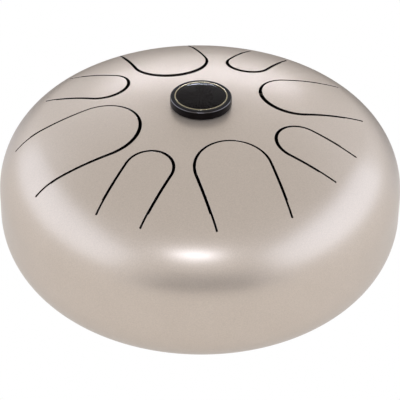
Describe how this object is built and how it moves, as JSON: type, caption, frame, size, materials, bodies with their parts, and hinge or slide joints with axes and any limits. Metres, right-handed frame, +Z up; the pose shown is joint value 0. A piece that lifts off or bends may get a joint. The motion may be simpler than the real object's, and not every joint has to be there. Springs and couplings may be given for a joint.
{
  "type": "steel tongue drum",
  "caption": "Round steel tongue drum: two welded domes, long U-cut tongues of different sizes round a centre badge, a sound port below and rubber feet.",
  "frame": {"origin": "on the ground under the drum's centre, at the underside of the feet", "axes": "+Z up along the drum's axis; -Y is the side that faces the camera in the picture; +X to that camera's right"},
  "size_m": [0.3, 0.3, 0.1717],
  "materials": {
    "drum_finish": "satin champagne metallic lacquer on steel",
    "badge_black": "moulded, semi-gloss",
    "badge_metal": "turned, satin",
    "badge_print": "plain black film",
    "badge_lens": "clear cast resin over the black label",
    "foam_pad": "adhesive foam",
    "trim_rubber": "extruded, matt",
    "foot_rubber": "moulded, matt"
  },
  "bodies": {
    "drum": {"top_shell": "drum_finish", "bottom_shell": "drum_finish", "rim_weld": "drum_finish", "badge_body": "badge_black", "badge_ring": "badge_metal", "badge_label": "badge_print", "badge_dome": "badge_lens", "badge_pad": "foam_pad", "port_trim": "trim_rubber", "foot_1": "foot_rubber", "foot_2": "foot_rubber", "foot_3": "foot_rubber", "foot_4": "foot_rubber", "foot_pads": "foam_pad"},
    "tongue_1": {"tongue_1": "drum_finish"},
    "tongue_2": {"tongue_2": "drum_finish"},
    "tongue_3": {"tongue_3": "drum_finish"},
    "tongue_4": {"tongue_4": "drum_finish"},
    "tongue_5": {"tongue_5": "drum_finish"},
    "tongue_6": {"tongue_6": "drum_finish"},
    "tongue_7": {"tongue_7": "drum_finish"},
    "tongue_8": {"tongue_8": "drum_finish"}
  },
  "joints": [
    {"name": "tongue_1_flex", "type": "hinge", "parent": "drum", "child": "tongue_1", "pos_m": [0.0382, -0.11618, 0.13953], "axis": [-0.95, -0.3123, 0], "range_deg": [-1, 1], "stiffness_Nm_per_rad": 122.8},
    {"name": "tongue_2_flex", "type": "hinge", "parent": "drum", "child": "tongue_2", "pos_m": [0.1047, -0.05289, 0.14263], "axis": [-0.4509, -0.8926, 0], "range_deg": [-1, 1], "stiffness_Nm_per_rad": 109.2},
    {"name": "tongue_3_flex", "type": "hinge", "parent": "drum", "child": "tongue_3", "pos_m": [0.11276, 0.03707, 0.14166], "axis": [0.3123, -0.95, 0], "range_deg": [-1, 1], "stiffness_Nm_per_rad": 116.1},
    {"name": "tongue_4_flex", "type": "hinge", "parent": "drum", "child": "tongue_4", "pos_m": [0.05226, 0.10345, 0.14332], "axis": [0.8926, -0.4509, 0], "range_deg": [-1, 1], "stiffness_Nm_per_rad": 97.2},
    {"name": "tongue_5_flex", "type": "hinge", "parent": "drum", "child": "tongue_5", "pos_m": [-0.0381, 0.1159, 0.13971], "axis": [0.95, 0.3123, 0], "range_deg": [-1, 1], "stiffness_Nm_per_rad": 123.3},
    {"name": "tongue_6_flex", "type": "hinge", "parent": "drum", "child": "tongue_6", "pos_m": [-0.10907, 0.0551, 0.14013], "axis": [0.4509, 0.8926, 0], "range_deg": [-1, 1], "stiffness_Nm_per_rad": 101.2},
    {"name": "tongue_7_flex", "type": "hinge", "parent": "drum", "child": "tongue_7", "pos_m": [-0.12682, -0.0417, 0.13028], "axis": [-0.3123, 0.95, 0], "range_deg": [-1, 1], "stiffness_Nm_per_rad": 118.1},
    {"name": "tongue_8_flex", "type": "hinge", "parent": "drum", "child": "tongue_8", "pos_m": [-0.05681, -0.11247, 0.13777], "axis": [-0.8926, 0.4509, 0], "range_deg": [-1, 1], "stiffness_Nm_per_rad": 91.1}
  ]
}
